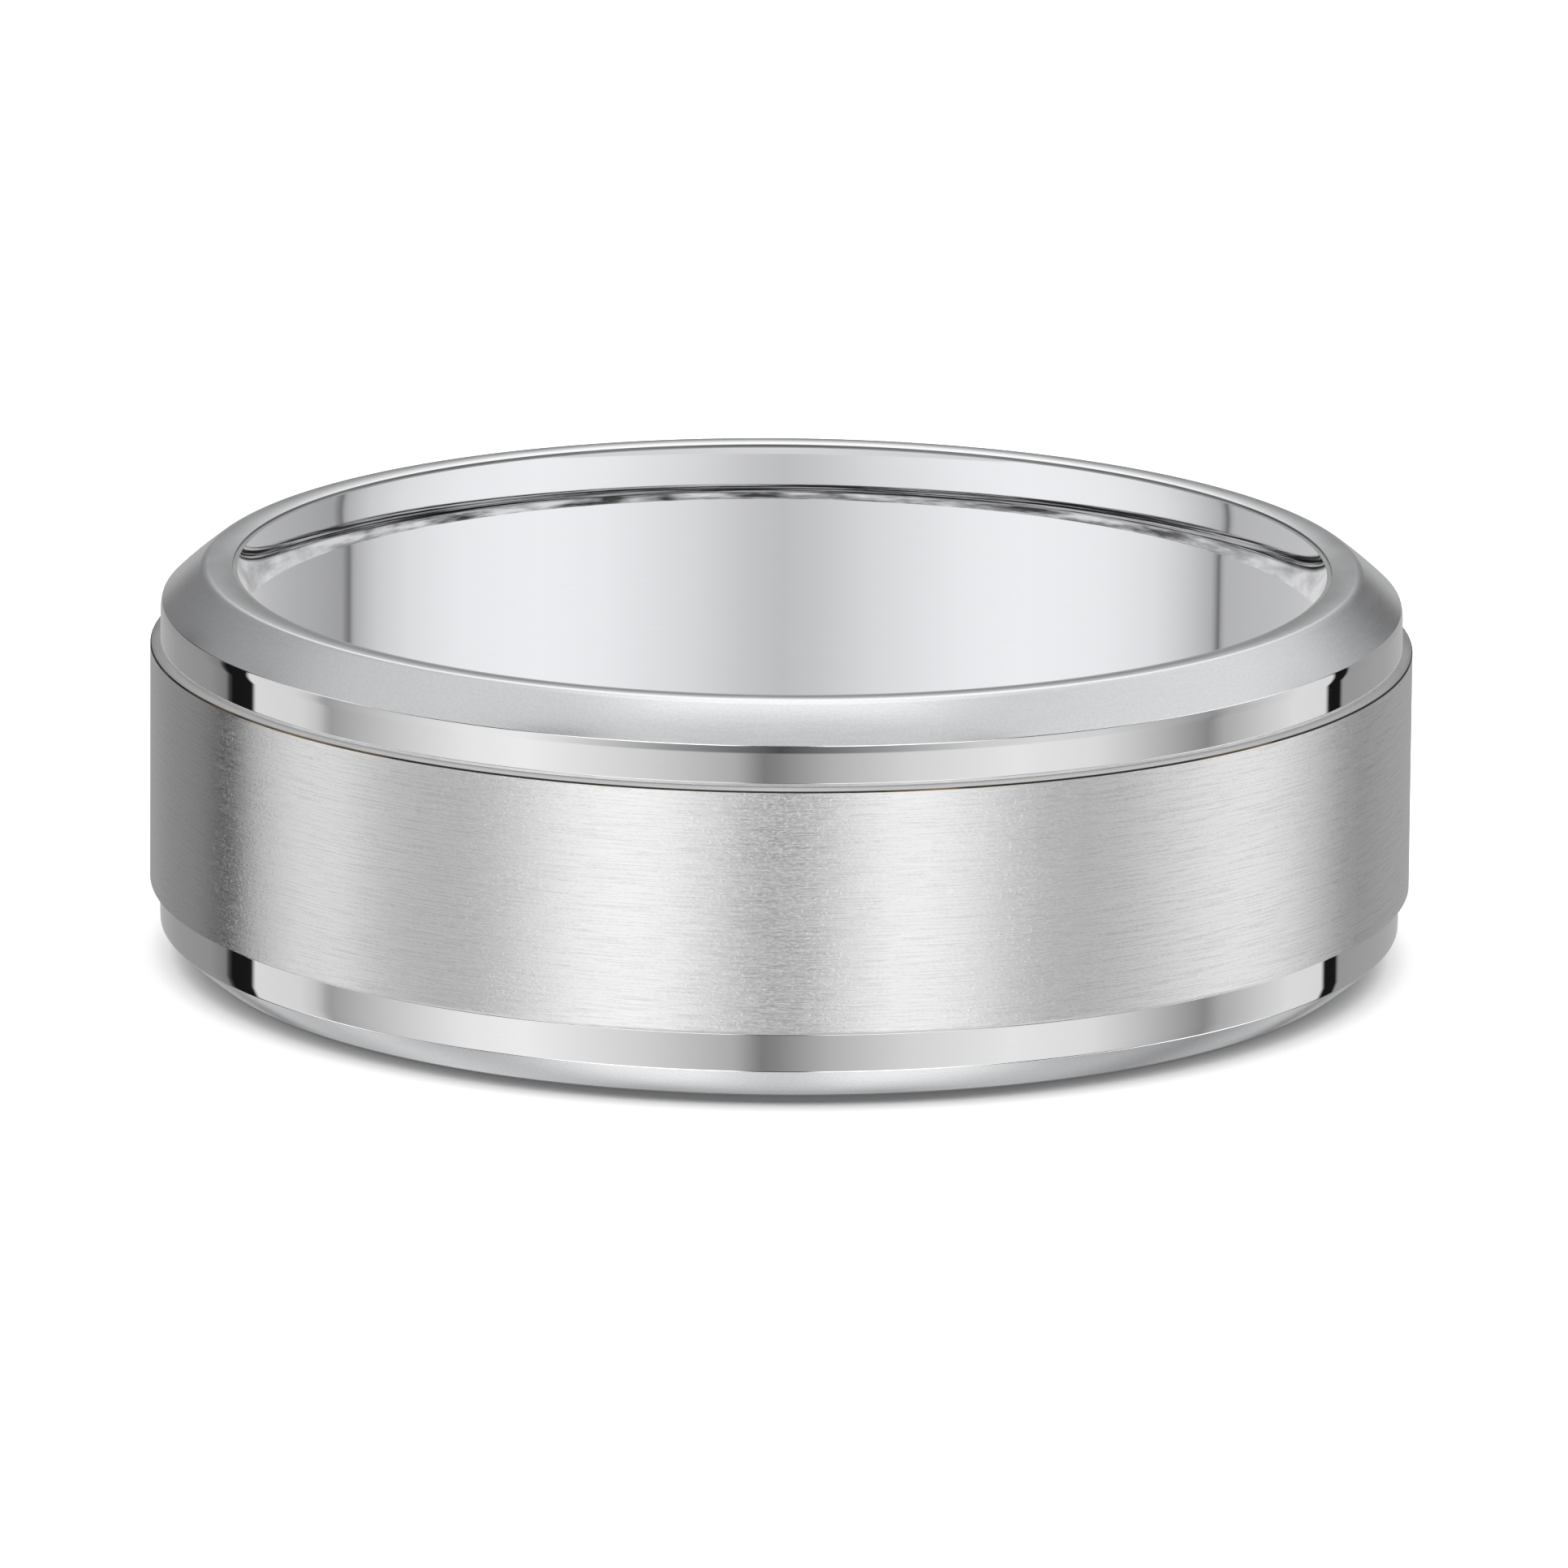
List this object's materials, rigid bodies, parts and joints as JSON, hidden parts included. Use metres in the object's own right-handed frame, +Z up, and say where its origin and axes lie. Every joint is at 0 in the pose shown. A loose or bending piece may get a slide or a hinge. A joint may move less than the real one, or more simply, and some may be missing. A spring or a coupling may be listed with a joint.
{
  "type": "wedding band",
  "caption": "Comfort-fit wedding band with a raised satin center, polished stepped shoulders and beveled edges, lying flat.",
  "frame": {"origin": "centre of the finger bore, on the plane the band rests on", "axes": "+Z up along the finger bore's axis; the band is turned, so X and Y are free"},
  "size_m": [0.0222, 0.0222, 0.007],
  "materials": {
    "polished_lining": "mirror-polished white metal, comfort-fit bore",
    "satin_band": "satin white metal, brushed round the circumference",
    "polished_edge": "polished step and softly polished bevel in white metal",
    "solder": "dark silver-brown solder line"
  },
  "bodies": {
    "root": {"inner_sleeve": "polished_lining", "center_band": "satin_band", "upper_edge_ring": "polished_edge", "lower_edge_ring": "polished_edge", "upper_solder_ring": "solder", "lower_solder_ring": "solder"}
  },
  "joints": []
}
